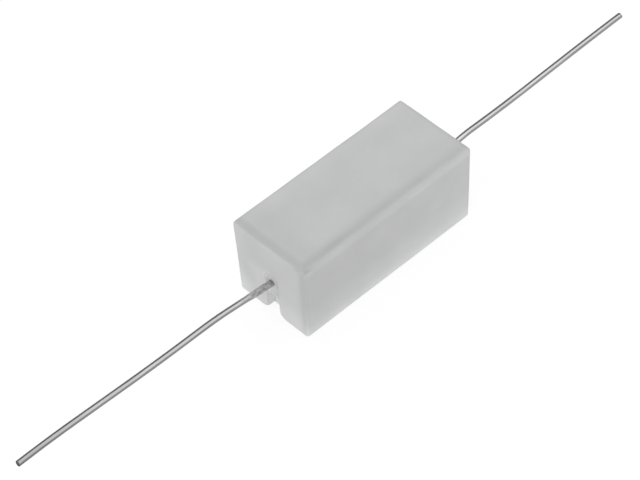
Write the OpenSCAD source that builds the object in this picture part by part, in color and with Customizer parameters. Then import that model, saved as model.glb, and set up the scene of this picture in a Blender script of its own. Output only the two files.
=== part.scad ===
// Cement-filled wirewound power resistor with two axial leads, in millimetres.
// The leads lie along X, the open side of the ceramic case faces down and its rim
// stands on z = 0. The origin is the centre of that underside.

/* [Case] */
// Length of the case along the leads, at the crown
case_l = 22; // [20:0.5:50]
// Width of the case across the leads, at the crown
case_w = 9.5; // [8:0.1:14]
// Height of the case from the rim to the crown
case_h = 9.5; // [8.5:0.1:14]
// Thickness of the two end walls
end_wall = 1.5; // [0.9:0.1:2]
// Thickness of the two side walls
side_wall = 1.2; // [0.8:0.1:1.5]
// Thickness of the crown over the cavity
crown_wall = 1.3; // [0.8:0.1:1.8]
// How far each end leans in between the crown and the rim
end_draft = 0.24; // [0:0.02:0.4]
// How far each side leans in between the crown and the rim
side_draft = 0.16; // [0:0.02:0.3]
// Radius of the edges round the crown
crown_r = 0.6; // [0.2:0.05:1]
// Radius of the outer edges round the rim
rim_r = 0.45; // [0.1:0.05:0.6]
// Radius of the four upright edges
upright_r = 0.3; // [0.1:0.05:0.6]
// Radius of the cavity's upright corners
cavity_r = 0.8; // [0.3:0.1:1.5]

/* [Lead slots] */
// Width of the slot in each end wall
slot_w = 1.7; // [1.5:0.1:2.6]
// Height of the centre of the slot's round top
slot_z = 4.7; // [4.2:0.1:5.4]
// Radius of the rounding where the sides of a slot meet the rim
mouth_r = 0.7; // [0.2:0.05:1.2]

/* [Cement] */
// Depth of the cement's face inside the rim, at its middle
cement_recess = 0.35; // [0.2:0.05:0.8]
// Depth of the cement's face inside the rim, where it wets the walls
cement_edge = 0.1; // [0.05:0.05:0.15]
// Width of the sloping border where the cement wets the walls
cement_border = 1; // [0.4:0.1:1.5]
// How deep the cement in a slot lies inside the case's end, round the lead
plug_depth = 0.4; // [0.3:0.05:0.8]
// How deep the cement in a slot lies inside the case's end, at the rim
foot_depth = 1.4; // [0.9:0.05:2]
// Height above which the cement in a slot stands out fully
plug_z = 3.2; // [2:0.1:4]
// Clearance between the cement and what it holds
cement_gap = 0.02; // [0.01:0.01:0.05]

/* [Core and winding] */
// Diameter of the ceramic core
core_d = 3.4; // [2.6:0.1:3.8]
// Room between each end of the core and the end wall, for the cap, the weld and the stub
end_room = 2.1; // [1.6:0.1:4]
// Diameter of the resistance wire
wire_d = 0.3; // [0.2:0.02:0.36]
// Number of turns on the core
wire_turns = 17; // [6:1:24]
// Clearance between the wire and the core, and between the wire and the caps
wire_gap = 0.03; // [0.02:0.01:0.05]

/* [End caps] */
// Thickness of the sheet that the caps are drawn from
cap_wall = 0.3; // [0.2:0.02:0.36]
// Length of core that each cap covers
cap_cover = 2.4; // [1.5:0.1:3]
// Radius of the drawn edge of each cap, on the outside
cap_edge_r = 0.4; // [0.2:0.05:0.6]

/* [Leads] */
// Diameter of the bare lead
lead_d = 0.6; // [0.5:0.02:0.76]
// Diameter of the root, thickened by the solder that ran up from the weld
root_d = 0.68; // [0.62:0.02:0.9]
// Length of thick root outside the case
root_out = 2.2; // [1:0.1:2.6]
// Length of the taper from the root to the bare lead
root_taper = 0.7; // [0.3:0.1:0.9]
// Diameter of the weld bead on the cap
weld_d = 1.5; // [1:0.1:1.9]
// Height of the weld bead
weld_h = 0.35; // [0.2:0.05:0.6]
// Straight stub between the weld bead and the first bend
lead_stub = 0.8; // [0.7:0.1:1]
// Radius of the bend at the stub, to the middle of the lead
stub_bend_r = 3; // [2:0.5:4]
// Radius of the bend where a lead levels out beside the case, to the middle of the lead
level_r = 8; // [4:1:10]
// Radius of the gentle bends further out, to the middle of the lead
sway_r = 40; // [10:5:50]
// Slant of the cut at each tip, in degrees
tip_slant = 6; // [0:1:30]

/* [Left lead] */
// Distance from the case to the left lead's first bend
left_rise_l = 6.6; // [5:0.1:10]
// Length of the dip after the first bend
left_dip_l = 7.4; // [4:0.1:10]
// Length of the climb after the dip
left_climb_l = 12.2; // [8:0.1:16]
// Length of the last stretch, to the tip
left_tip_l = 4.2; // [2:0.1:8]
// Height of the first bend above the slot's centre
left_rise_up = 0.36; // [0:0.01:0.6]
// Height of the bottom of the dip above the slot's centre
left_dip_up = 0.34; // [0:0.01:0.6]
// Height of the end of the climb above the slot's centre
left_climb_up = 0.82; // [0.3:0.01:1]
// Height of the tip above the slot's centre
left_tip_up = 0.76; // [0.3:0.01:1]

/* [Right lead] */
// Distance from the case to the right lead's first bend
right_rise_l = 4; // [4:0.1:8]
// Length of the dip after the first bend
right_dip_l = 5; // [3:0.1:8]
// Length of the climb after the dip
right_climb_l = 12.6; // [8:0.1:16]
// Length of the last stretch, to the tip
right_tip_l = 4.3; // [2:0.1:8]
// Height of the first bend above the slot's centre
right_rise_up = 0.18; // [0:0.01:0.5]
// Height of the bottom of the dip above the slot's centre
right_dip_up = 0.09; // [0:0.01:0.5]
// Height of the end of the climb above the slot's centre
right_climb_up = 0.51; // [0.3:0.01:1]
// Height of the tip above the slot's centre
right_tip_up = 0.57; // [0.3:0.01:1]

/* [Hidden] */

// Facets of a round face, and of the upright corners that hull() blends
round_fn = 64;
hull_fn = 32;
// Steps of a rounded edge that is built from flat facets, in degrees
edge_step = 11.25;
mouth_step = 22.5;
// Thickness of the layers that an edge is blended from
layer = 0.001;
// Sides of the resistance wire and its steps in each turn
wire_sides = 8;
turn_steps = 20;
// Length by which a cutting tool runs past what it cuts
run_past = 1;

// The cavity, and the height at which the core lies in its middle
cavity_l = case_l - 2 * end_wall;
cavity_w = case_w - 2 * side_wall;
cavity_h = case_h - crown_wall;
axis_z = cavity_h / 2;
core_l = cavity_l - 2 * end_room;

// Radii of the wound core and of the caps pressed over it
wire_path_r = core_d / 2 + wire_gap + wire_d / 2;
winding_r = wire_path_r + wire_d / 2;
cap_bore_r = winding_r + wire_gap;
cap_r = cap_bore_r + cap_wall;
cap_face = core_l / 2 + cap_wall;

// Points of a lead's middle line, as distances from the middle of the case and heights,
// from the lengths and heights of its stretches outside the case
first_bend = cap_face + weld_h + lead_stub;
function lead_line(lengths, ups) = concat(
    [[cap_face, axis_z], [first_bend, axis_z]],
    [for (k = [0 : len(ups) - 1]) [case_l / 2 + sum_to(lengths, k), slot_z + ups[k]]]);
function sum_to(list, k) = list[k] + (k > 0 ? sum_to(list, k - 1) : 0);
left_line = lead_line([left_rise_l, left_dip_l, left_climb_l, left_tip_l],
                      [left_rise_up, left_dip_up, left_climb_up, left_tip_up]);
right_line = lead_line([right_rise_l, right_dip_l, right_climb_l, right_tip_l],
                       [right_rise_up, right_dip_up, right_climb_up, right_tip_up]);

// Direction of the line from a to b, in degrees above the horizontal
function slope(a, b) = atan2(b[1] - a[1], b[0] - a[0]);

// Radius of the bend at point k of a line, its angle, and the length it takes from each side
function radius_at(k) = k == 1 ? stub_bend_r : k == 2 ? level_r : sway_r;
function turn_at(line, k) = slope(line[k], line[k + 1]) - slope(line[k - 1], line[k]);
function trim_at(line, k) = radius_at(k) * tan(abs(turn_at(line, k)) / 2);

// Point at a distance from a towards b
function towards(a, b, distance) = a + (b - a) / norm(b - a) * distance;

// How far a straight runs into the bend beside it, and how much thicker the bend is
bend_lap = 0.05;
bend_step = 0.003;

// Distance along the second stretch of a line to the end of the thick root
function root_stop(line) = (case_l / 2 + root_out - first_bend) / cos(slope(line[1], line[2]));

module mirror_to_left() mirror([1, 0, 0]) children();

// Rectangle with round corners, centred
module round_rectangle(length, width, r, facets = round_fn) {
    square([length - 2 * r, width], center = true);
    square([length, width - 2 * r], center = true);
    for (x = [-1, 1], y = [-1, 1])
        translate([x * (length / 2 - r), y * (width / 2 - r)])
            circle(r = r, $fn = facets);
}

// Outline of a lead slot, seen along the leads, with its centre line on x = 0
module slot_outline(gap = 0) {
    half = slot_w / 2 - gap;
    translate([0, slot_z]) circle(r = half, $fn = round_fn);
    translate([-half, -run_past]) square([2 * half, slot_z + run_past]);
    for (side = [0, 1])
        mirror([side, 0])
            polygon(concat([[0, mouth_r]], mouth_curve(half), [[0, -run_past]]));
}

// Rounding from the side of a slot to the rim, run past the rim at its last slope
function mouth_curve(half) = concat(
    [for (a = [0 : mouth_step : 90]) [half + mouth_r * (1 - cos(a)), mouth_r * (1 - sin(a))]],
    [[half + mouth_r + run_past * tan(90 - mouth_step / 2), -run_past]]);

// Layer of the case's block, at height z and at a distance inside its leaning faces
module block_layer(z, inside) {
    lean = 1 - z / case_h;
    translate([0, 0, z])
        linear_extrude(layer, center = true)
            round_rectangle(case_l - 2 * (end_draft * lean + inside),
                            case_w - 2 * (side_draft * lean + inside), upright_r, hull_fn);
}

// Outside of the case: a block that leans in towards the rim, with round edges
module case_block() {
    hull()
        for (a = [0 : edge_step : 90]) {
            block_layer(case_h - layer / 2 - crown_r * (1 - sin(a)), crown_r * (1 - cos(a)));
            block_layer(layer / 2 + rim_r * (1 - sin(a)), rim_r * (1 - cos(a)));
        }
}

// Pressed ceramic trough, open below, with a slot for a lead in each end wall
module ceramic_case() {
    color([0.76, 0.77, 0.765])
        difference() {
            case_block();
            translate([0, 0, -run_past])
                linear_extrude(cavity_h + run_past)
                    round_rectangle(cavity_l, cavity_w, cavity_r);
            rotate([90, 0, 90])
                linear_extrude(case_l + 2 * run_past, center = true)
                    slot_outline();
        }
}

// Round bar from point a towards point b of the XZ plane, given as [distance, radius] pairs
module bar(a, b, stations) {
    ends = [stations[0][0], stations[len(stations) - 1][0]];
    translate([a[0], 0, a[1]])
        rotate([0, 90 - slope(a, b), 0])
            rotate_extrude($fn = round_fn)
                polygon(concat([[0, ends[0]]], [for (s = stations) [s[1], s[0]]],
                               [[0, ends[1]]]));
}

// Bend of a round bar at point k of its line
module bend(line, k, r) {
    angle = turn_at(line, k);
    side = sign(angle);
    start = towards(line[k], line[k - 1], trim_at(line, k));
    heading = slope(line[k - 1], line[k]);
    centre = start + side * radius_at(k) * [-sin(heading), cos(heading)];
    translate([centre[0], 0, centre[1]])
        rotate([90, 0, 0])
            rotate([0, 0, side > 0 ? heading - 90 : heading + angle + 90])
                rotate_extrude(angle = abs(angle), $fn = round_fn)
                    translate([radius_at(k), 0])
                        circle(r = r + bend_step, $fn = round_fn);
}

// Lead with its weld bead, with clearance all round when gap is above 0
module lead_run(line, gap = 0) {
    thick = root_d / 2 + gap;
    thin = lead_d / 2 + gap;
    last = len(line) - 1;
    stub_stop = weld_h + lead_stub - trim_at(line, 1) + bend_lap;
    bar(line[0], line[1], [[0, weld_d / 2 + gap], [weld_h, thick], [stub_stop, thick]]);
    bend(line, 1, thick);
    bar(line[1], line[2],
        [[trim_at(line, 1) - bend_lap, thick], [root_stop(line), thick],
         [root_stop(line) + root_taper, thin],
         [norm(line[2] - line[1]) - trim_at(line, 2) + bend_lap, thin]]);
    for (k = [2 : last - 1]) {
        trim_next = k + 1 < last ? trim_at(line, k + 1) - bend_lap : 0;
        bend(line, k, thin);
        bar(line[k], line[k + 1],
            [[trim_at(line, k) - bend_lap, thin],
             [norm(line[k + 1] - line[k]) - trim_next, thin]]);
    }
}

// Whole lead on the right-hand side, cut off on a slant at its tip
module lead(line) {
    tip = line[len(line) - 1];
    heading = slope(line[len(line) - 2], tip);
    color([0.62, 0.62, 0.62])
        difference() {
            lead_run(line);
            translate([tip[0], 0, tip[1]])
                rotate([0, -heading - tip_slant, 0])
                    translate([-lead_d / 2 * sin(tip_slant), -lead_d, -2 * lead_d])
                        cube([2 * lead_d, 2 * lead_d, 4 * lead_d]);
        }
}

module right_lead() lead(right_line);
module left_lead() mirror_to_left() lead(left_line);

// Cap on the right-hand end of the core, drawn from sheet
module cap() {
    color([0.66, 0.65, 0.62])
        translate([cap_face, 0, axis_z])
            rotate([0, -90, 0])
                rotate_extrude($fn = round_fn)
                    difference() {
                        union() {
                            square([cap_r - cap_edge_r, cap_wall + cap_cover]);
                            translate([0, cap_edge_r])
                                square([cap_r, cap_wall + cap_cover - cap_edge_r]);
                            translate([cap_r - cap_edge_r, cap_edge_r])
                                intersection() {
                                    circle(r = cap_edge_r, $fn = round_fn);
                                    translate([0, -cap_edge_r])
                                        square(cap_edge_r);
                                }
                        }
                        translate([-run_past, cap_wall])
                            square([run_past + cap_bore_r, cap_cover + run_past]);
                    }
}

module right_cap() cap();
module left_cap() mirror_to_left() cap();

// Ceramic rod that carries the winding
module core_rod() {
    color([0.86, 0.84, 0.8])
        translate([0, 0, axis_z])
            rotate([0, 90, 0])
                cylinder(d = core_d, h = core_l, center = true, $fn = round_fn);
}

// Resistance wire, wound from one end of the core to the other
module resistance_wire() {
    wound_l = core_l - 2 * wire_d;
    steps = wire_turns * turn_steps;
    points = [for (i = [0 : steps], j = [0 : wire_sides - 1])
        let (turn = 360 * i / turn_steps,
             side = 360 * j / wire_sides,
             reach = wire_path_r + wire_d / 2 * cos(side))
        [wound_l * (i / steps - 0.5) + wire_d / 2 * sin(side),
         reach * cos(turn), reach * sin(turn)]];
    walls = [for (i = [0 : steps - 1], j = [0 : wire_sides - 1])
        let (k = i * wire_sides, next = (j + 1) % wire_sides)
        [k + j, k + next, k + wire_sides + next, k + wire_sides + j]];
    first_end = [for (j = [wire_sides - 1 : -1 : 0]) j];
    last_end = [for (j = [0 : wire_sides - 1]) steps * wire_sides + j];
    color([0.45, 0.42, 0.38])
        translate([0, 0, axis_z])
            polyhedron(points = points, faces = concat(walls, [first_end, last_end]));
}

// Room that the cement leaves for the core, its winding and its caps
module element_room() {
    translate([0, 0, axis_z])
        rotate([0, 90, 0]) {
            cylinder(r = cap_bore_r, h = core_l, center = true, $fn = round_fn);
            for (side = [0, 1])
                mirror([0, 0, side])
                    translate([0, 0, core_l / 2 - cap_cover - cement_gap])
                        cylinder(r = cap_r + cement_gap,
                                 h = cap_cover + cap_wall + 2 * cement_gap, $fn = round_fn);
        }
}

// Shallow dish that the cement's face sinks in by as it sets
module cement_dish() {
    hull() {
        translate([0, 0, cement_edge - run_past / 2])
            cube([cavity_l, cavity_w, run_past], center = true);
        translate([0, 0, cement_recess - run_past / 2])
            cube([cavity_l - 2 * cement_border, cavity_w - 2 * cement_border, run_past],
                 center = true);
    }
}

// Cement in the right-hand slot, which stands out furthest round the lead
module cement_plug() {
    intersection() {
        rotate([90, 0, 90])
            linear_extrude(case_l)
                slot_outline(cement_gap);
        rotate([90, 0, 0])
            linear_extrude(2 * case_w, center = true)
                polygon([[0, cement_edge], [case_l / 2 - foot_depth, cement_edge],
                         [case_l / 2 - plug_depth, plug_z],
                         [case_l / 2 - plug_depth, case_h], [0, case_h]]);
    }
}

// Cement that fills the case round the wound core and stands out into the slots
module cement_fill() {
    color([0.8, 0.79, 0.76])
        difference() {
            union() {
                linear_extrude(cavity_h - cement_gap)
                    round_rectangle(cavity_l - 2 * cement_gap, cavity_w - 2 * cement_gap,
                                    cavity_r - cement_gap);
                cement_plug();
                mirror_to_left() cement_plug();
            }
            cement_dish();
            element_room();
            lead_run(right_line, cement_gap);
            mirror_to_left()
                lead_run(left_line, cement_gap);
        }
}

ceramic_case();
cement_fill();
core_rod();
resistance_wire();
left_cap();
right_cap();
left_lead();
right_lead();
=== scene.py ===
"""Cement-filled power resistor with two axial leads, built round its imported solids.

Lengths in the settings are metres. The helpers that shape a surface work in millimetres,
in the solids' own frame: leads along X, the rim of the open side on z = 0.
"""

import math

import bpy
import numpy as np
from bpy.props import FloatProperty, FloatVectorProperty, IntProperty, PointerProperty
from mathutils import Matrix, Vector


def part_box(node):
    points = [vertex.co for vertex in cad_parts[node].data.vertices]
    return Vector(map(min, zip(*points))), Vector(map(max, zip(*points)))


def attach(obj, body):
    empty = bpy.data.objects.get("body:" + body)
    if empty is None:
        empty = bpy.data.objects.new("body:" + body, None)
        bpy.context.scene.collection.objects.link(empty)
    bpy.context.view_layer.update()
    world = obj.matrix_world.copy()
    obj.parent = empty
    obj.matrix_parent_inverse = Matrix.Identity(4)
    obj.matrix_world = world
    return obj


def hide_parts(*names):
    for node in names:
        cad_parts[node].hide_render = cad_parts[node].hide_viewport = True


bl_info = {
    "name": "Cement Power Resistor",
    "version": (1, 0, 0),
    "blender": (4, 5, 0),
    "location": "3D View > Sidebar > Resistor",
    "description": "Builds a cement-filled power resistor with axial leads",
    "category": "Add Mesh",
}

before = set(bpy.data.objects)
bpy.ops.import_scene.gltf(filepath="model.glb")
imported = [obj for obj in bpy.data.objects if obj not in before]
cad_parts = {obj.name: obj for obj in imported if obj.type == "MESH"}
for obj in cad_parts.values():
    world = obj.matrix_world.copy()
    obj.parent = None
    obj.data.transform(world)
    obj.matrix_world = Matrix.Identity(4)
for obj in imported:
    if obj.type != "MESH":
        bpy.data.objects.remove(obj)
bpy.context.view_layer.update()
MM = 0.001

# The case as packed, in millimetres: half its length and width, and its height
HALF_L, HALF_W, CASE_H = (float(v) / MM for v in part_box("ceramic_case")[1])

# Middle line of each lead, in millimetres: cap, stub's bend, the bends outside the case and
# the tip, each as (distance from the middle of the case, height, length that the bend takes)
NEAR_LINE = ((7.7, 4.1, 0.0), (8.85, 4.1, 0.4), (17.6, 5.06, 3.6), (25.0, 5.04, 7.0),
             (37.2, 5.52, 5.0), (41.4, 5.46, 0.0))
FAR_LINE = ((7.7, 4.1, 0.0), (8.85, 4.1, 0.4), (15.0, 4.88, 2.0), (20.0, 4.79, 7.0),
            (32.6, 5.21, 6.0), (36.9, 5.27, 0.0))

# Sides of a lead, and each pair of neighbours round it
LEAD_SIDES = 40
AROUND = [(j, (j + 1) % LEAD_SIDES) for j in range(LEAD_SIDES)]


# Settings


def length(name, description, default, high=0.1):
    return FloatProperty(name=name, description=description, default=default, min=0.0,
                         max=high, precision=5, unit="LENGTH")


def share(name, description, default):
    return FloatProperty(name=name, description=description, default=default, min=0.0,
                         max=1.0)


def colour(name, description, default):
    return FloatVectorProperty(name=name, description=description, default=default, size=3,
                               min=0.0, max=1.0, subtype="COLOR")


class ResistorCaseSettings(bpy.types.PropertyGroup):
    end_draft: length("End draft", "Lean of each end towards the rim", 0.00024)
    side_draft: length("Side draft", "Lean of each side towards the rim", 0.00016)
    crown_round: length("Crown rounding", "Radius of the edges round the crown", 0.00058)
    upright_round: length("Upright rounding", "Radius of the four upright edges", 0.00032)
    rim_round: length("Rim rounding", "Radius of the outer edges of the rim", 0.00044)
    lip_round: length("Lip rounding", "Radius of the upright edges of the lead slots", 0.0001)
    front_mouth: length("Front mouth", "Radius from a slot's front side to the rim", 0.00088)
    back_mouth: length("Back mouth", "Radius from a slot's back side to the rim", 0.00048)
    end_wall: length("End wall", "Thickness of the two end walls", 0.0015)
    side_wall: length("Side wall", "Thickness of the two side walls", 0.0012)
    crown_wall: length("Crown wall", "Thickness of the crown over the cavity", 0.0013)
    cavity_round: length("Cavity rounding", "Radius of the cavity's upright corners", 0.0008)
    inner_round: length("Inner rounding", "Radius of the edges round the cavity", 0.00012)
    slot_width: length("Slot width", "Width of the lead slots", 0.0017)
    slot_height: length("Slot height", "Height of the centre of a slot's round top", 0.0047)
    warp: length("Warp", "How far the pressed faces and edges wander", 0.000022)
    tone: colour("Ceramic", "Colour of the fired ceramic", (0.545, 0.551, 0.548))
    # Painted shade: the colour of the darker bands along the case's edges and on the crown's near
    # end
    edge_shade_tone: colour("Painted edge shade", "Colour of the ceramic along its edges",
                      (0.44, 0.447, 0.445))
    speck_tone: colour("Specks", "Colour of the few fine specks", (0.32, 0.31, 0.29))
    # Painted light: the colour of the case near the rim, under the crown's front edge and in the
    # shade of its slots
    painted_light_tone: colour("Painted light", "Colour of the ceramic in its slots and near the rim",
                      (0.85, 0.86, 0.855))
    roughness: share("Roughness", "Roughness of the fired surface", 0.5)
    mottle: share("Mottle", "Strength of the faint clouds in the ceramic", 0.03)


class ResistorCementSettings(bpy.types.PropertyGroup):
    gap: length("Gap", "Gap between the cement and the case", 0.000004)
    corner_round: length("Corner rounding", "Radius of the cement's upright corners", 0.00078)
    recess: length("Recess", "Depth of the cement inside the rim", 0.00035)
    edge_recess: length("Edge recess", "Depth of the cement where it wets the walls", 0.0001)
    border: length("Border", "Width of the border that wets the walls", 0.001)
    grain: length("Grain", "Height of the cement's grain", 0.00003)
    swell: length("Swell", "Height of the open face's long waves", 0.00006)
    pits: IntProperty(name="Pits", description="Number of small pits in the open face",
                      default=46, min=0, max=200)
    plug_depth: length("Plug depth", "Depth of the cement in a slot, round the lead", 0.0003)
    foot_depth: length("Foot depth", "Depth of the cement in a slot, near the rim", 0.00128)
    flush_depth: length("Flush depth", "Least depth of the cement inside an end face", 0.00005)
    wetting: length("Wetting", "Width over which the cement climbs a slot's walls", 0.0005)
    plug_height: length("Plug height", "Height above which the cement stands out", 0.0032)
    foot_height: length("Foot height", "Height below which the cement lies deepest", 0.0008)
    tone: colour("Cement", "Colour of the set cement", (0.8, 0.805, 0.797))
    dark_tone: colour("Dark grains", "Colour of the cement's darker grains",
                      (0.72, 0.724, 0.717))
    # Painted shade round a lead and by a slot's edge, and the open face's greyer tone
    shade_and_grey_tone: colour("Shade and grey", "Colour of the cement round a lead and by a slot's edge",
                      (0.55, 0.555, 0.55))


class ResistorLeadSettings(bpy.types.PropertyGroup):
    diameter: length("Diameter", "Diameter of the bare lead", 0.0006)
    root_diameter: length("Root diameter", "Diameter of the solder-coated root", 0.00068)
    root_length: length("Root length", "Length of thick root outside the case", 0.0022)
    taper_length: length("Taper", "Length of the taper from root to bare lead", 0.0007)
    weld_diameter: length("Weld diameter", "Diameter of the weld bead on the cap", 0.0015)
    weld_height: length("Weld height", "Height of the weld bead", 0.00035)
    wire_lumps: length("Wire lumps", "Height of the lumps in the bare lead", 0.000004)
    root_lumps: length("Root lumps", "Height of the lumps in the dull root", 0.000018)
    tip_slant: FloatProperty(name="Tip slant", description="Slant of the cut at each tip",
                             default=math.radians(6.0), subtype="ANGLE", unit="ROTATION")
    darkening: share("Tip darkening", "How much darker the near lead is at its tip", 0.33)
    # Painted shade where a lead enters the cement
    entry_shade: share("Entry shade", "How much darker a lead is where it enters the cement", 0.4)
    tone: colour("Tinned wire", "Colour of the tinned wire", (0.71, 0.712, 0.715))
    root_tone: colour("Root", "Colour of the dull root", (0.42, 0.42, 0.42))
    cut_tone: colour("Cut", "Colour of the cut ends", (0.13, 0.13, 0.13))


class ResistorElementSettings(bpy.types.PropertyGroup):
    core_tone: colour("Core", "Colour of the ceramic core", (0.72, 0.68, 0.6))
    wire_tone: colour("Resistance wire", "Colour of the resistance wire", (0.3, 0.27, 0.24))
    cap_tone: colour("Caps", "Colour of the pressed caps", (0.55, 0.54, 0.5))


class ResistorStageSettings(bpy.types.PropertyGroup):
    softbox_radius: length("Softbox radius", "Radius of the round softbox overhead", 0.46,
                           high=2.0)
    softbox_height: length("Softbox height", "Height of the softbox", 0.62, high=2.0)
    softbox_power: FloatProperty(name="Softbox power", description="Power of the softbox",
                                 default=1.75, min=0.0, unit="POWER")
    fill_power: FloatProperty(name="Fill power", description="Power of the low light on the left",
                              default=1.7, min=0.0, unit="POWER")
    sky: share("Sky", "Strength of the soft light from all round", 0.62)
    floor_tone: share("Floor", "How much of the light the floor sends back", 1.0)
    shadow: share("Shadow", "How much of the floor's white a full shadow takes away", 0.15)
    card_tone: share("Dark card", "Brightness of the dark card behind the object", 0.17)
    low_tone: share("Low card", "Brightness of the grey cards in front and below", 0.41)


# Shapes, in millimetres


def rise(value, start, stop):
    """0 before start and 1 after stop."""
    return np.clip((value - start) / (stop - start), 0.0, 1.0)


def band(value, middle, before, after):
    """A soft band round the middle value, with a width of its own on each side."""
    width = np.where(value < middle, before, after)
    return np.exp(-((value - middle) / width) ** 2)


def drift(points, step, seed):
    """Smooth noise from -1 to 1 at each point, with lumps about a step across."""
    size, shift = 17, 400.0
    table = np.random.default_rng(seed).uniform(-1.0, 1.0, (size, size, size))
    place = points / step + shift
    cell = np.floor(place).astype(int)
    part = place - cell
    part = part * part * (3.0 - 2.0 * part)
    total = np.zeros(len(points))
    for corner in np.ndindex(2, 2, 2):
        weight = np.prod(np.where(corner, part, 1.0 - part), axis=1)
        i, j, k = ((cell + corner) % size).T
        total += weight * table[i, j, k]
    return total


def round_max(a, b, r):
    """Where both distances are inside, joined by an edge of radius r."""
    outside = np.hypot(np.maximum(a + r, 0.0), np.maximum(b + r, 0.0))
    return np.minimum(np.maximum(a, b), -r) + outside


def box_distance(points, low, high, r):
    """Distance to an upright box whose upright edges have radius r."""
    mid, half = (np.array(low) + high) / 2.0, (np.array(high) - low) / 2.0
    x, y, z = np.abs(points - mid).T
    return np.maximum(round_max(x - half[0], y - half[1], r), z - half[2])


def steps_between(stops):
    """Grid lines from (place, step) pairs: each step holds until the next place."""
    lines = []
    for (start, step), (end, _) in zip(stops, stops[1:]):
        count = max(1, round((end - start) / step))
        lines.extend(np.linspace(start, end, count, endpoint=False))
    lines.append(stops[-1][0])
    return np.array(lines)


def both_ways(stops):
    """Grid lines on both sides of 0, from the pairs for one side."""
    half = steps_between(stops)
    return np.concatenate((-half[:0:-1], half))


def surface_of(distance, lines):
    """Vertices and quads of the surface on which distance(points) is zero.

    Each cell of the grid that the surface crosses gets one vertex, each edge of the grid that
    it crosses gets one quad, and the vertices are then drawn onto the surface."""
    grid = np.stack(np.meshgrid(*lines, indexing="ij"), axis=-1)
    value = distance(grid.reshape(-1, 3)).reshape(grid.shape[:3])
    cells = tuple(n - 1 for n in value.shape)
    total, count, quads = np.zeros(cells + (3,)), np.zeros(cells), []
    for axis in range(3):
        u, v = (axis + 1) % 3, (axis + 2) % 3
        along, aside, across = np.eye(3, dtype=int)[[axis, u, v]]
        near = value[tuple(slice(0, -1) if k == axis else slice(1, -1) for k in range(3))]
        far = value[tuple(slice(1, None) if k == axis else slice(1, -1) for k in range(3))]
        node = np.argwhere((near < 0) != (far < 0)) + aside + across
        a, b = value[tuple(node.T)], value[tuple((node + along).T)]
        start, end = grid[tuple(node.T)], grid[tuple((node + along).T)]
        spot = start + (end - start) * (a / (a - b))[:, None]
        ring = [node - aside - across, node - across, node, node - aside]
        for cell in ring:
            np.add.at(total, tuple(cell.T), spot)
            np.add.at(count, tuple(cell.T), 1)
        ring = np.stack([np.ravel_multi_index(tuple(cell.T), cells) for cell in ring], axis=1)
        ring[a > 0] = ring[a > 0][:, ::-1]
        quads.append(ring)
    used = np.flatnonzero(count.ravel())
    points = total.reshape(-1, 3)[used] / count.ravel()[used, None]
    number = np.full(count.size, -1)
    number[used] = np.arange(len(used))
    passes, longest, least_slope = 4, 0.1, 0.2
    for _ in range(passes):
        slope = slope_of(distance, points)
        step = distance(points) / np.maximum((slope * slope).sum(axis=1), least_slope)
        points = points - slope * np.clip(step, -longest, longest)[:, None]
    return points, number[np.concatenate(quads)]


def slope_of(distance, points, reach=0.004):
    return np.stack([(distance(points + reach * side) - distance(points - reach * side))
                     / (2.0 * reach) for side in np.eye(3)], axis=1)


def piece_from(name, points, faces, materials, node):
    """A smooth-shaded mesh object in the solids' frame that stands for this node."""
    mesh = bpy.data.meshes.new(name)
    mesh.from_pydata((np.asarray(points) * MM).tolist(), [], [list(f) for f in faces])
    mesh.validate()
    mesh.shade_smooth()
    piece = bpy.data.objects.new(name, mesh)
    bpy.context.scene.collection.objects.link(piece)
    for material in materials:
        mesh.materials.append(material)
    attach(piece, "root")
    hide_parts(node)
    return piece


def set_attribute(piece, name, values):
    layer = piece.data.attributes.new(name, "FLOAT", "POINT")
    layer.data.foreach_set("value", np.asarray(values, np.float32))


def slot_distance(y, z, s):
    """Distance to the outline of a lead slot, seen along the leads."""
    half, top = s.slot_width / MM / 2.0, s.slot_height / MM
    return np.where(z > top, np.hypot(y, z - top), np.abs(y)) - half


def open_side(y, z, s):
    """Distance to all that stands above the rim and beside the lead slots."""
    front = np.clip(0.5 - y, 0.0, 1.0)
    mouth = (s.back_mouth + (s.front_mouth - s.back_mouth) * front) / MM
    return round_max(-z, -slot_distance(y, z, s), mouth)


def case_distance(points, s):
    """Distance to the case, with its cavity and slots."""
    x, y, z = points.T
    wander = drift(points, 4.5, 11) + 0.5 * drift(points, 1.9, 12)
    inset = s.warp / MM * (0.9 + 0.6 * wander)
    lean = np.clip(1.0 - z / CASE_H, 0.0, 1.0)
    ends = np.abs(x) - HALF_L + s.end_draft / MM * lean + inset
    sides = np.abs(y) - HALF_W + s.side_draft / MM * lean + inset
    uprights = round_max(ends, sides, s.upright_round / MM)
    edge = s.crown_round / MM * (1.0 + 0.1 * drift(points, 2.6, 13))
    block = round_max(uprights, z - CASE_H + inset, edge)
    foot = np.clip(1.2 - z / 0.7, 0.0, 1.0)
    brim = (s.lip_round + (s.rim_round - s.lip_round) * foot) / MM
    outside = round_max(block, open_side(y, z, s), brim)
    cavity = cavity_distance(points, s, 0.0, s.cavity_round / MM)
    return round_max(outside, -cavity, s.inner_round / MM)


def cavity_corner(s):
    """The cavity's highest corner, from which its lowest follows by symmetry."""
    return np.array((HALF_L - s.end_wall / MM, HALF_W - s.side_wall / MM,
                     CASE_H - s.crown_wall / MM))


def cavity_distance(points, s, gap, r):
    """Distance to the cavity less a gap all round, taken to reach far below the rim."""
    high = cavity_corner(s) - gap
    return box_distance(points, (-high[0], -high[1], -CASE_H), high, r)


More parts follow.
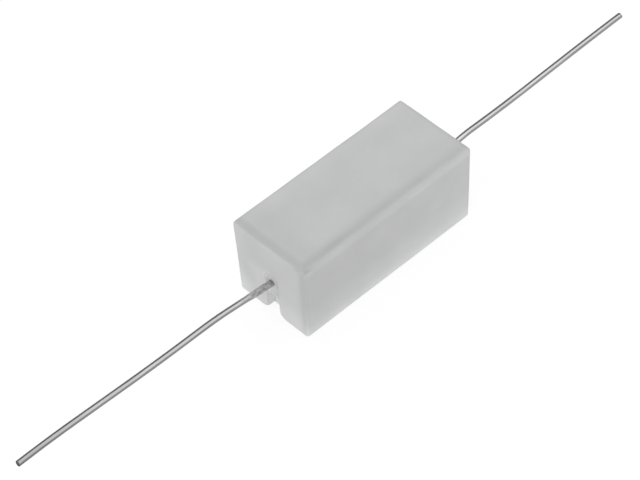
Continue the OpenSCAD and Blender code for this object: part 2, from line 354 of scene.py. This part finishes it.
def plug_depth_at(points, s, case):
    """How far inside the case's full length the cement ends in a slot: least round the lead,
    deeper towards the rim, and flush where it climbs the slot's back wall and its top."""
    _, y, z = points.T
    foot = rise(-z, -s.plug_height / MM, -s.foot_height / MM)
    depth = (s.plug_depth + (s.foot_depth - s.plug_depth) * foot) / MM
    by_wall = 1.0 - rise(-slot_distance(y, z, case), 0.0, s.wetting / MM)
    wet = rise(z, 0.9, 3.0) * by_wall ** 2 * rise(y, -0.6, 0.2)
    depth = depth * (1.0 - 0.88 * wet) + 0.015 * drift(points, 0.7, 21)
    end_face = case.end_draft / MM * (1.0 - z / CASE_H)
    return np.maximum(depth, end_face + s.flush_depth / MM)


def cement_distance(points, s, case, pits):
    """Distance to the cement: what fills the cavity, with a grainy dish and a plug in
    each slot."""
    x, y, z = points.T
    gap = s.gap / MM
    body = cavity_distance(points, case, gap, s.corner_round / MM)
    plug = np.maximum(gap - open_side(y, z, case),
                      np.abs(x) - HALF_L + plug_depth_at(points, s, case))
    whole = np.minimum(body, plug)
    wall = cavity_corner(case)
    sink = rise(np.minimum(wall[0] - np.abs(x), wall[1] - np.abs(y)), 0.0, s.border / MM)
    sink = sink * sink * (3.0 - 2.0 * sink)
    face = (s.edge_recess + (s.recess - s.edge_recess) * sink) / MM
    grain = s.grain / MM * (drift(points, 0.55, 22) + 0.8 * drift(points, 0.27, 23))
    swell = s.swell / MM * drift(points, 3.2, 24) * sink
    whole = np.maximum(whole, face + grain + swell - z)
    near_face = z < 1.5
    for middle, r in pits:
        off = points[near_face] - middle
        pit = r - np.sqrt((off * off).sum(axis=1))
        whole[near_face] = np.maximum(whole[near_face], pit)
    return whole


def cement_pits(count):
    """Middles and radii of small round pits in the cement's open face."""
    rng = np.random.default_rng(5)
    pits = []
    for _ in range(count):
        r = rng.uniform(0.07, 0.2)
        pits.append((np.array([rng.uniform(-9.0, 9.0), rng.uniform(-3.1, 3.1),
                               0.34 - 0.35 * r]), r))
    return pits


def lead_centres(line):
    """Points along a lead's middle line with its bends rounded, up to a third of a
    millimetre apart, and one more just before the tip."""
    in_bend, longest, before_tip = 9, 0.33, 0.1
    stops = [np.array(p[:2]) for p in line]
    centres = [stops[0]]
    for k in range(1, len(stops) - 1):
        back, on = stops[k - 1] - stops[k], stops[k + 1] - stops[k]
        reach = line[k][2] / 2.0
        a = stops[k] + back / np.linalg.norm(back) * reach
        b = stops[k] + on / np.linalg.norm(on) * reach
        centres.extend((1 - t) ** 2 * a + 2 * t * (1 - t) * stops[k] + t * t * b
                       for t in np.linspace(0.0, 1.0, in_bend))
    centres.append(stops[-1])
    dense = [centres[0]]
    for a, b in zip(centres, centres[1:]):
        count = max(1, math.ceil(np.linalg.norm(b - a) / longest))
        dense.extend(a + (b - a) * t for t in np.linspace(0.0, 1.0, count + 1)[1:])
    dense.insert(-1, dense[-1] + (dense[-2] - dense[-1]) * before_tip)
    return np.array(dense)


def lead_radii(out, along, s):
    """Radius at each point of a lead's middle line, and its share of the dull root there."""
    thin, thick, bead = (v / MM / 2.0 for v in (s.diameter, s.root_diameter, s.weld_diameter))
    root = 1.0 - rise(out, s.root_length / MM, (s.root_length + s.taper_length) / MM)
    weld = 1.0 - rise(along, 0.0, s.weld_height / MM)
    return thin + (thick - thin) * root + (bead - thick) * weld, root


def lead_rings(line, side, s, seed):
    """Rings of vertices along a lead, the middles of its two ends, and how dull each ring is.

    The last ring but one is narrowed by a bevel. The last one lies within the cut face, whose
    two halves are sheared a little apart."""
    skin, bevel, slanted, dish, shear = 0.001, 0.95, 0.5, 0.02, 0.012
    centres = lead_centres(line)
    runs = np.linalg.norm(np.diff(centres, axis=0), axis=1)
    along = np.concatenate(([0.0], np.cumsum(runs)))
    headings = np.gradient(centres, along, axis=0)
    headings /= np.linalg.norm(headings, axis=1)[:, None]
    radii, root = lead_radii(centres[:, 0] - HALF_L, along, s)
    turn = np.linspace(0.0, 2.0 * math.pi, LEAD_SIDES, endpoint=False)
    thin, slant = s.diameter / MM / 2.0, math.tan(s.tip_slant)
    rings = []
    for centre, heading, r, far, dull in zip(centres, headings, radii, along, root):
        up = np.array([-heading[1], heading[0]])
        spots = np.stack((np.full(LEAD_SIDES, far), 2.0 * np.cos(turn), 2.0 * np.sin(turn)),
                         axis=1)
        lumps = s.wire_lumps / MM * drift(spots * (0.5, 1, 1), 1.2, seed)
        lumps = lumps + s.root_lumps / MM * dull * drift(spots, 0.8, seed + 1)
        reach = r - skin + np.minimum(lumps, 0.0 if dull < 0.5 else 0.02)
        reach = reach * (1.0 if far < along[-1] else bevel)
        high, aside = reach * np.sin(turn), reach * np.cos(turn)
        cut = -slant * (high + thin) * rise(far, along[-1] - slanted, along[-1])
        flat = centre + high[:, None] * up + cut[:, None] * heading
        rings.append(np.stack((side * flat[:, 0], aside, flat[:, 1]), axis=1))
    last = centres[-1] - headings[-1] * (dish + slant * thin)
    start, end = (np.array([side * spot[0], 0.0, spot[1]]) for spot in (centres[0], last))
    inner = (rings[-1] + end) / 2.0
    inner[:, 0] += side * shear * np.sign(np.sin(turn))
    return rings + [inner], start, end, np.concatenate((root, root[-1:]))


def lead_mesh(line, side, s, seed):
    """Vertices and faces of a lead, for each vertex how dull it is and how far out it lies,
    and for each face whether it is part of the cut."""
    rings, start, end, root = lead_rings(line, side, s, seed)
    points = np.concatenate(rings + [[start, end]])
    first, last = len(points) - 2, len(points) - 1
    base = (len(rings) - 1) * LEAD_SIDES
    faces = []
    for low in range(0, base, LEAD_SIDES):
        high = low + LEAD_SIDES
        faces.extend((low + j, low + i, high + i, high + j) for j, i in AROUND)
    for j, i in AROUND:
        faces.append((first, i, j))
        faces.append((last, base + j, base + i))
    if side > 0:
        faces = [face[::-1] for face in faces]
    dull = np.concatenate((np.repeat(root, LEAD_SIDES), [1.0, 0.0]))
    cut = [min(face) >= base - 2 * LEAD_SIDES for face in faces]
    return points, faces, dull, np.abs(points[:, 0]) - HALF_L, cut


# Finishes


def scaled(tone, factor):
    """A colour made lighter or darker."""
    return [min(1.0, v * factor) for v in tone]


class Nodes:
    """A material's node tree, built a node at a time."""

    def __init__(self, name):
        self.material = bpy.data.materials.new(name)
        self.material.use_nodes = True
        self.tree = self.material.node_tree
        self.shader = self.tree.nodes["Principled BSDF"]

    def add(self, kind, **values):
        node = self.tree.nodes.new(kind)
        for key, value in values.items():
            setattr(node, key, value)
        return node

    def link(self, start, end):
        self.tree.links.new(start, end)

    def noise(self, size, detail=3.0, rough=0.5, stretch=(1.0, 1.0, 1.0)):
        """Noise in the object's own coordinates, with lumps about size metres across."""
        place = self.add("ShaderNodeTexCoord")
        scale = self.add("ShaderNodeMapping")
        scale.inputs["Scale"].default_value = [v / size for v in stretch]
        node = self.add("ShaderNodeTexNoise")
        node.inputs["Scale"].default_value = 1.0
        node.inputs["Detail"].default_value = detail
        node.inputs["Roughness"].default_value = rough
        self.link(place.outputs["Object"], scale.inputs["Vector"])
        self.link(scale.outputs["Vector"], node.inputs["Vector"])
        return node.outputs["Fac"]

    def ramp(self, value, *stops):
        """A ramp from (place, colour) pairs. A colour may be one grey number."""
        node = self.add("ShaderNodeValToRGB")
        elements = node.color_ramp.elements
        while len(elements) < len(stops):
            elements.new(0.5)
        for element, (place, shade) in zip(elements, stops):
            element.position = place
            shade = (shade,) * 3 if isinstance(shade, float) else tuple(shade)
            element.color = shade + (1.0,)
        self.link(value, node.inputs["Fac"])
        return node.outputs["Color"]

    def mix(self, factor, a, b):
        node = self.add("ShaderNodeMix", data_type="RGBA")
        for socket, value in ((node.inputs[0], factor), (node.inputs[6], a),
                              (node.inputs[7], b)):
            if isinstance(value, bpy.types.NodeSocket):
                self.link(value, socket)
            elif socket.type == "RGBA":
                socket.default_value = tuple(value) + (1.0,)
            else:
                socket.default_value = value
        return node.outputs[2]

    def range(self, value, low, high, to_low=0.0, to_high=1.0):
        node = self.add("ShaderNodeMapRange")
        self.link(value, node.inputs["Value"])
        for name, number in (("From Min", low), ("From Max", high), ("To Min", to_low),
                             ("To Max", to_high)):
            node.inputs[name].default_value = number
        return node.outputs["Result"]

    def attribute(self, name):
        node = self.add("ShaderNodeAttribute", attribute_name=name)
        return node.outputs["Fac"]

    def bump(self, height, depth, strength=1.0, under=None):
        node = self.add("ShaderNodeBump")
        node.inputs["Strength"].default_value = strength
        node.inputs["Distance"].default_value = depth
        self.link(height, node.inputs["Height"])
        if under is not None:
            self.link(under, node.inputs["Normal"])
        return node.outputs["Normal"]

    def set(self, **values):
        for key, value in values.items():
            socket = self.shader.inputs[key.replace("_", " ")]
            if isinstance(value, bpy.types.NodeSocket):
                self.link(value, socket)
            elif socket.type == "RGBA":
                socket.default_value = tuple(value) + (1.0,)
            else:
                socket.default_value = value


def ceramic_finish(s):
    """Fired ceramic with faint clouds and a few specks, with painted light near the rim and in
    the slots and painted shade along the edges.
    """
    n = Nodes("fired_ceramic")
    cloud = n.range(n.noise(0.0035, 4.0, 0.55), 0.3, 0.7)
    body = n.mix(cloud, scaled(s.tone, 1.0 - s.mottle), scaled(s.tone, 1.0 + s.mottle))
    # Painted light near the rim, under the crown's front edge, beside the slots and in them
    body = n.mix(n.attribute("pale"), body, s.painted_light_tone)
    # Painted shade along the edges, on the crown's near end and on the slots' front lips
    body = n.mix(n.attribute("edge"), body, s.edge_shade_tone)
    specks = n.ramp(n.noise(0.00022, 1.0), (0.0, 0.0), (0.73, 0.0), (0.8, 0.12))
    body = n.mix(specks, body, s.speck_tone)
    grain = n.noise(0.00012, 3.0, 0.6)
    waves = n.bump(n.noise(0.0011, 2.0), 0.00003, 0.35)
    n.set(Base_Color=body, Roughness=n.range(grain, 0.3, 0.7, s.roughness - 0.05,
                                             s.roughness + 0.07),
          Specular_IOR_Level=0.35, Normal=n.bump(grain, 0.000006, 0.5, waves))
    return n.material


def cement_finish(s):
    """Set cement with fine sand, darker patches, painted shade round the leads and by the slots'
    front edges, and a greyer open face.
    """
    n = Nodes("set_cement")
    sand = n.ramp(n.noise(0.00035, 4.0, 0.65), (0.32, s.dark_tone), (0.5, s.tone),
                  (0.72, scaled(s.tone, 1.1)))
    patches = n.range(n.noise(0.003, 3.0), 0.3, 0.7, 0.0, 0.35)
    body = n.mix(patches, sand, scaled(s.tone, 0.9))
    # Painted shade round the leads and by the slots' front edges, and a greyer open face
    body = n.mix(n.attribute("shade_and_grey"), body, s.shade_and_grey_tone)
    grain = n.noise(0.00016, 4.0, 0.7)
    n.set(Base_Color=body, Roughness=n.range(grain, 0.2, 0.8, 0.82, 0.96),
          Normal=n.bump(grain, 0.00003, 0.8))
    return n.material


def tinned_finish(s):
    """Bright drawn tin with fine streaks along the wire and a root dulled by flux, darker towards
    the near lead's tip, with painted shade where a lead enters the cement.
    """
    n = Nodes("tinned_wire")
    dull = n.attribute("dull")
    streaks = n.noise(0.00025, 3.0, 0.6, (0.06, 1.0, 1.0))
    bright = n.mix(n.range(streaks, 0.3, 0.7), scaled(s.tone, 0.86), scaled(s.tone, 1.12))
    flux = n.mix(n.range(n.noise(0.0003, 4.0, 0.65), 0.35, 0.65), scaled(s.root_tone, 0.65),
                 scaled(s.root_tone, 1.45))
    # Darker towards the near tip, and painted shade where a lead enters the cement
    body = n.mix(n.attribute("darkening"), n.mix(dull, bright, flux), (0.0, 0.0, 0.0))
    polish = n.range(streaks, 0.3, 0.7, 0.17, 0.25)
    height = n.mix(dull, n.range(streaks, 0.0, 1.0, 0.4, 0.6), n.noise(0.00018, 3.0, 0.6))
    n.set(Metallic=n.range(dull, 0.0, 1.0, 1.0, 0.35), Base_Color=body,
          Roughness=n.mix(dull, polish, (0.42, 0.42, 0.42)), Normal=n.bump(height, 0.00002, 0.5))
    return n.material


def cut_finish(s):
    """A sheared end with upright marks."""
    n = Nodes("sheared_end")
    marks = n.noise(0.00012, 3.0, 0.6, (1.0, 1.0, 0.3))
    n.set(Metallic=0.5, Base_Color=n.mix(marks, scaled(s.cut_tone, 0.8), scaled(s.cut_tone, 1.4)),
          Roughness=n.range(marks, 0.3, 0.7, 0.4, 0.55), Normal=n.bump(marks, 0.00002, 0.6))
    return n.material


def metal_finish(name, tone, roughness, stretch):
    """Drawn or pressed metal with fine marks."""
    n = Nodes(name)
    marks = n.noise(0.0003, 3.0, 0.6, stretch)
    n.set(Metallic=1.0, Base_Color=n.mix(marks, scaled(tone, 0.85), scaled(tone, 1.15)),
          Roughness=n.range(marks, 0.3, 0.7, roughness - 0.05, roughness + 0.08),
          Normal=n.bump(marks, 0.00001, 0.4))
    return n.material


def core_finish(tone):
    """The matte ceramic of the core."""
    n = Nodes("core_ceramic")
    grain = n.noise(0.0002, 4.0, 0.6)
    n.set(Base_Color=n.mix(grain, scaled(tone, 0.92), scaled(tone, 1.06)),
          Roughness=n.range(grain, 0.3, 0.7, 0.7, 0.85), Normal=n.bump(grain, 0.00001, 0.5))
    return n.material


# Shares of each finish, of painted shade and of painted light, from places in millimetres


def on_faces(a, b):
    """1 on the two faces that these distances are taken from, and 0 away from them."""
    return 1.0 - rise(np.minimum(a, b), 0.3, 0.6)


def lip_share(points, s):
    """1 on the outer lips of the lead slots."""
    x, y, z = points.T
    aside, deep = np.abs(slot_distance(y, z, s)), HALF_L - np.abs(x)
    return (1.0 - rise(aside, 0.08, 0.2)) * (1.0 - rise(deep, 0.12, 0.3))


def edge_shade_share(points, s):
    """How much painted shade each point of the case takes: along the crown's front and left
    edges, down the upright edge between them and on the slots' front lips, and a painted dark
    reflection on the crown's near end."""
    x, y, z = points.T
    below, front, left = CASE_H - z, HALF_W + y, HALF_L + x
    wave = 0.1 * drift(points, 1.7, 15)
    front_edge = on_faces(below, front) * band(front - below + wave, 0.36, 0.34, 0.75)
    left_edge = on_faces(below, left) * band(left - below + wave, 0.15, 0.3, 0.8)
    upright = on_faces(front, left) * band(front - left, 0.1, 0.35, 0.5)
    near_end = rise(-x, 6.0, 9.5) * rise(z, CASE_H - 0.3, CASE_H - 0.1)
    front_lip = lip_share(points, s) * rise(-y, -0.2, 0.3)
    return np.max(((1.0 - 0.45 * rise(x, -6.0, 9.0)) * front_edge, left_edge,
                   (0.25 + 0.65 * rise(z, 0.5, 4.5)) * upright, 0.2 * near_end,
                   0.6 * rise(z, 2.0, 4.0) * front_lip), axis=0)


def painted_light_share(points, s):
    """How much painted light each point of the case takes: light from below near the rim, a
    painted highlight just under the crown's front edge, lighter towards the far end, the back and
    beside the slots, and painted light on the slots' back lips and in the slots, where shade
    falls."""
    x, y, z = points.T
    below, front = CASE_H - z, HALF_W + y
    aside, deep = slot_distance(y, z, s), HALF_L - np.abs(x)
    foot = 0.5 * np.clip(1.0 - z / 4.5, 0.0, 1.0) ** 1.4
    foot += 0.3 * rise(np.abs(y), HALF_W - 0.44, HALF_W - 0.24) * (1.0 - rise(z, 0.0, 1.6))
    under_edge = on_faces(below, front) * band(below - front, 0.65, 0.3, 0.35)
    pale = np.maximum(foot, 0.15 * under_edge)
    pale += 0.14 * rise(x, -4.0, HALF_L) * rise(-y, HALF_W - 0.44, HALF_W - 0.14)
    pale += 0.125 * rise(y, 2.5, HALF_W - 0.14)
    beside = (1.0 - rise(aside, 0.8, 3.2)) * (1.0 - rise(deep, 0.2, 0.4))
    beside *= np.where(y > 0.0, 0.26, 0.06) * (1.0 - rise(z, 4.8, 6.4))
    back_lip = lip_share(points, s) * rise(y, -0.2, 0.3)
    in_slot = 1.0 - rise(np.abs(open_side(y, z, s)), 0.1, 0.3)
    in_slot *= rise(deep, 0.2, 0.55) * (1.0 - rise(aside, 0.5, 0.9))
    in_slot *= 1.0 - rise(deep - s.end_wall / MM, 0.1, 0.3)
    return np.max((pale, beside, 0.9 * back_lip, 0.85 * in_slot), axis=0)


def shade_and_grey_share(points, case):
    """How much the cement takes the darker colour: painted shade by a slot's front edge and round
    the lead, and a greyer tone a little in the open face."""
    x, y, z = points.T
    by_edge = rise(slot_distance(y, z, case), -0.35, -0.05) * (1.0 - rise(y, 0.0, 0.4))
    by_edge *= 1.0 - rise(HALF_L - np.abs(x), 0.2, 0.45)
    by_lead = 0.78 + 0.22 * rise(-y, -0.3, 0.6) - 0.18 * rise(y, 0.1, 0.7)
    open_face = 1.0 - rise(np.abs(x), 9.2, 9.6)
    return np.max((0.68 * by_edge, rise(z, 0.6, 1.9) * by_lead, 0.3 * open_face), axis=0)


def darkening_share(out, at_tip, at_entry_shade):
    """How much darker a lead is, from its distance outside the case: in two steps towards its
    tip, and with painted shade where it enters the cement."""
    towards_tip = 0.4 * rise(out, 4.0, 9.0) + 0.6 * rise(out, 22.0, 30.4)
    return at_tip * towards_tip + at_entry_shade * (1.0 - rise(out, -0.35, 0.2))


# Operators


class RESISTOR_OT_case(bpy.types.Operator):
    """Builds the pressed ceramic case with its drafted faces, soft edges and lead slots"""

    bl_idname = "resistor.build_case"
    bl_label = "Ceramic Case"

    def execute(self, context):
        s = context.scene.resistor_case
        # Fine steps where the edges and the slots lie, and longer ones between them
        fine, flat, margin = 0.1, 0.3, 0.2
        lines = (both_ways(((0.0, 0.42), (9.2, fine), (HALF_L + margin, fine))),
                 both_ways(((0.0, fine), (1.45, 0.32), (3.3, fine), (HALF_W + margin, fine))),
                 steps_between(((-0.25, fine), (0.75, flat), (4.5, fine), (5.8, flat),
                                (7.9, fine), (CASE_H + margin, fine))))
        points, faces = surface_of(lambda p: case_distance(p, s), lines)
        points[:, 2] = np.maximum(points[:, 2], 0.0)
        piece = piece_from("case_shell", points, faces, [ceramic_finish(s)],
                           "ceramic_case")
        uneven = 1.0 + 0.2 * drift(points, 2.2, 14)
        # The edge attribute holds painted shade, the pale one painted light
        for name, amount in (("edge", edge_shade_share(points, s)), ("pale", painted_light_share(points, s))):
            set_attribute(piece, name, np.clip(amount * uneven, 0.0, 1.0))
        return {"FINISHED"}


class RESISTOR_OT_cement(bpy.types.Operator):
    """Builds the cement that fills the case, with its grainy open face"""

    bl_idname = "resistor.build_cement"
    bl_label = "Cement"

    def execute(self, context):
        s, case = context.scene.resistor_cement, context.scene.resistor_case
        pits = cement_pits(s.pits)
        # Fine steps in the slots and in the open face, and longer ones deep inside
        slots, face, deep, least_recess = 0.08, 0.07, 0.35, 0.06
        lines = (both_ways(((0.0, 0.17), (9.3, slots), (HALF_L + 0.1, slots))),
                 both_ways(((0.0, 0.1), (1.1, 0.15), (3.75, 0.15))),
                 steps_between(((-0.1, face), (0.8, 0.16), (5.8, deep), (8.4, deep))))
        points, faces = surface_of(lambda p: cement_distance(p, s, case, pits), lines)
        points[:, 2] = np.maximum(points[:, 2], least_recess)
        piece = piece_from("cement_body", points, faces, [cement_finish(s)],
                           "cement_fill")
        # Painted shade in the slots round the leads, and the open face's greyer tone
        set_attribute(piece, "shade_and_grey", shade_and_grey_share(points, case))
        return {"FINISHED"}


class RESISTOR_OT_leads(bpy.types.Operator):
    """Builds both leads, with their dull roots, gentle bends and cut tips"""

    bl_idname = "resistor.build_leads"
    bl_label = "Leads"

    def execute(self, context):
        s = context.scene.resistor_lead
        finishes = [tinned_finish(s), cut_finish(s)]
        for name, node, line, side, darkening, seed in (
                ("near_wire", "left_lead", NEAR_LINE, -1, s.darkening, 31),
                ("far_wire", "right_lead", FAR_LINE, 1, 0.0, 41)):
            points, faces, dull, out, cut = lead_mesh(line, side, s, seed)
            low, high = (np.array(v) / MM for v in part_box(node))
            points = np.clip(points, low, high)
            piece = piece_from(name, points, faces, finishes, node)
            set_attribute(piece, "dull", dull)
            # Darker towards the near tip, and painted shade where the lead enters the cement
            set_attribute(piece, "darkening", darkening_share(out, darkening, s.entry_shade))
            piece.data.polygons.foreach_set("material_index", np.array(cut, dtype=np.int32))
            piece.data.polygons.foreach_set("use_smooth", np.logical_not(cut))
        return {"FINISHED"}


class RESISTOR_OT_element(bpy.types.Operator):
    """Gives the wound core inside the cement its finishes"""

    bl_idname = "resistor.finish_element"
    bl_label = "Wound Core"

    def execute(self, context):
        s = context.scene.resistor_element
        cap = metal_finish("cap_metal", s.cap_tone, 0.35, (0.3, 1.0, 1.0))
        finishes = {"core_rod": core_finish(s.core_tone),
                    "resistance_wire": metal_finish("resistance_alloy", s.wire_tone, 0.4,
                                                    (1.0, 1.0, 1.0)),
                    "left_cap": cap, "right_cap": cap}
        for node, material in finishes.items():
            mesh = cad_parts[node].data
            mesh.materials.clear()
            mesh.materials.append(material)
        return {"FINISHED"}


class RESISTOR_OT_stage(bpy.types.Operator):
    """Sets the pale floor, the soft studio light and the camera"""

    bl_idname = "resistor.set_stage"
    bl_label = "Stage"

    def execute(self, context):
        s = context.scene.resistor_stage
        build_floor(s)
        build_cards(s)
        build_lights(s)
        build_world(s)
        build_camera()
        context.scene.view_settings.view_transform = "Standard"
        return {"FINISHED"}


def seen_directly(tree):
    """1 where the camera sees a surface, or sees it in metal or through glass, else 0."""
    path = tree.nodes.new("ShaderNodeLightPath")
    total = path.outputs["Is Camera Ray"]
    for name in ("Is Glossy Ray", "Is Transmission Ray"):
        node = tree.nodes.new("ShaderNodeMath")
        node.operation = "MAXIMUM"
        tree.links.new(total, node.inputs[0])
        tree.links.new(path.outputs[name], node.inputs[1])
        total = node.outputs[0]
    return total


def add_sheet(name, corners, finish):
    """A flat sheet of the stage, with its emptied node tree and a new output node."""
    mesh = bpy.data.meshes.new(name)
    mesh.from_pydata(corners, [], [(0, 1, 2, 3)])
    sheet = bpy.data.objects.new(name, mesh)
    bpy.context.scene.collection.objects.link(sheet)
    material = bpy.data.materials.new(finish)
    material.use_nodes = True
    mesh.materials.append(material)
    tree = material.node_tree
    tree.nodes.clear()
    return sheet, tree, tree.nodes.new("ShaderNodeOutputMaterial")


def level_square(reach, height):
    """Corners of a level square in the middle of the stage."""
    return [(-reach, -reach, height), (reach, -reach, height), (reach, reach, height),
            (-reach, reach, height)]


def build_floor(s):
    """A matte floor that the camera sees as white, apart from the object's shadow."""
    unshaded = 1.02
    _, tree, out = add_sheet("floor", level_square(reach=4.0, height=-0.00002), "pale_floor")
    both = tree.nodes.new("ShaderNodeAddShader")
    matte = tree.nodes.new("ShaderNodeBsdfDiffuse")
    glow = tree.nodes.new("ShaderNodeEmission")
    seen = seen_directly(tree)
    level = tree.nodes.new("ShaderNodeMapRange")
    level.inputs["To Min"].default_value = s.floor_tone
    level.inputs["To Max"].default_value = s.shadow
    white = tree.nodes.new("ShaderNodeMapRange")
    white.inputs["To Max"].default_value = unshaded - s.shadow
    for start, end in ((seen, level.inputs["Value"]), (seen, white.inputs["Value"]),
                       (level.outputs["Result"], matte.inputs["Color"]),
                       (white.outputs["Result"], glow.inputs["Strength"]),
                       (matte.outputs[0], both.inputs[0]), (glow.outputs[0], both.inputs[1]),
                       (both.outputs[0], out.inputs["Surface"])):
        tree.links.new(start, end)


def add_card(name, corners, tone):
    """A card that only reflections show."""
    card, tree, out = add_sheet(name, corners, name + "_tone")
    glow = tree.nodes.new("ShaderNodeEmission")
    glow.inputs["Strength"].default_value = tone
    tree.links.new(glow.outputs[0], out.inputs["Surface"])
    for way in ("camera", "diffuse", "transmission", "volume_scatter", "shadow"):
        setattr(card, "visible_" + way, False)


def build_cards(s):
    """A dark card behind the object, a low grey one in front and a grey one below it."""
    for name, turn, away, half, high, tone in (
            ("dark_card", math.radians(50.0), 0.5, 0.8, 0.9, s.card_tone),
            ("front_card", math.radians(-60.0), 0.06, 0.15, 0.028, s.low_tone)):
        out = Vector((math.cos(turn), math.sin(turn), 0.0))
        along, up = Vector((-out.y, out.x, 0.0)), Vector((0.0, 0.0, high))
        left, right = away * out + half * along, away * out - half * along
        add_card(name, [left, right, right + up, left + up], tone)
    add_card("low_card", level_square(reach=0.45, height=-0.00001), s.low_tone)


def add_light(name, power, size, place, aim):
    light = bpy.data.lights.new(name, "AREA")
    light.shape, light.size, light.energy = "DISK", size, power
    lamp = bpy.data.objects.new(name, light)
    bpy.context.scene.collection.objects.link(lamp)
    lamp.visible_camera = lamp.visible_glossy = False
    lamp.location = place
    lamp.rotation_euler = (Vector(aim) - Vector(place)).to_track_quat("-Z", "Y").to_euler()


def build_lights(s):
    """A round softbox overhead and a smaller, low light on the left."""
    middle, fill_size = (0.0, 0.0, 0.0), 0.5
    add_light("softbox", s.softbox_power, 2.0 * s.softbox_radius, (0.05, 0.0, s.softbox_height),
              middle)
    add_light("fill", s.fill_power, fill_size, (-0.7, -0.25, 0.12), middle)


def build_world(s):
    world = bpy.context.scene.world or bpy.data.worlds.new("studio")
    bpy.context.scene.world = world
    world.use_nodes = True
    tree = world.node_tree
    sky = tree.nodes["Background"]
    sky.inputs["Color"].default_value = (1.0, 1.0, 1.0, 1.0)
    level = tree.nodes.new("ShaderNodeMapRange")
    level.inputs["To Min"].default_value = s.sky
    level.inputs["To Max"].default_value = 1.0
    tree.links.new(seen_directly(tree), level.inputs["Value"])
    tree.links.new(level.outputs["Result"], sky.inputs["Strength"])


def build_camera():
    """A long lens, looking down on the near left-hand end."""
    right = Vector((0.71824, -0.69448, -0.04272))
    up = Vector((0.53666, 0.51385, 0.66929))
    place = Vector((-0.13288, -0.14604, 0.22029))
    data = bpy.data.cameras.new("camera")
    data.sensor_width = 36.0
    data.lens = 175.35
    data.clip_start, data.clip_end = 0.01, 50.0
    camera = bpy.data.objects.new("camera", data)
    bpy.context.scene.collection.objects.link(camera)
    turn = Matrix((right, up, right.cross(up))).transposed().to_4x4()
    camera.matrix_world = Matrix.Translation(place) @ turn
    bpy.context.scene.camera = camera


class RESISTOR_PT_panel(bpy.types.Panel):
    """Settings and steps of the resistor"""

    bl_idname = "RESISTOR_PT_panel"
    bl_label = "Resistor"
    bl_space_type = "VIEW_3D"
    bl_region_type = "UI"
    bl_category = "Resistor"

    def draw(self, context):
        for operator, name in STEPS:
            box = self.layout.box()
            box.operator(operator.bl_idname)
            settings = getattr(context.scene, name)
            for key in settings.__annotations__:
                box.prop(settings, key)


STEPS = ((RESISTOR_OT_case, "resistor_case"), (RESISTOR_OT_cement, "resistor_cement"),
         (RESISTOR_OT_leads, "resistor_lead"), (RESISTOR_OT_element, "resistor_element"),
         (RESISTOR_OT_stage, "resistor_stage"))
SETTINGS = {"resistor_case": ResistorCaseSettings, "resistor_cement": ResistorCementSettings,
            "resistor_lead": ResistorLeadSettings,
            "resistor_element": ResistorElementSettings,
            "resistor_stage": ResistorStageSettings}


def register():
    for name, group in SETTINGS.items():
        bpy.utils.register_class(group)
        setattr(bpy.types.Scene, name, PointerProperty(type=group))
    for operator, _ in STEPS:
        bpy.utils.register_class(operator)
    bpy.utils.register_class(RESISTOR_PT_panel)


def unregister():
    bpy.utils.unregister_class(RESISTOR_PT_panel)
    for operator, _ in reversed(STEPS):
        bpy.utils.unregister_class(operator)
    for name, group in reversed(SETTINGS.items()):
        delattr(bpy.types.Scene, name)
        bpy.utils.unregister_class(group)


def main():
    register()
    bpy.ops.resistor.build_case()
    bpy.ops.resistor.build_cement()
    bpy.ops.resistor.build_leads()
    bpy.ops.resistor.finish_element()
    bpy.ops.resistor.set_stage()


if __name__ == "__main__":
    main()
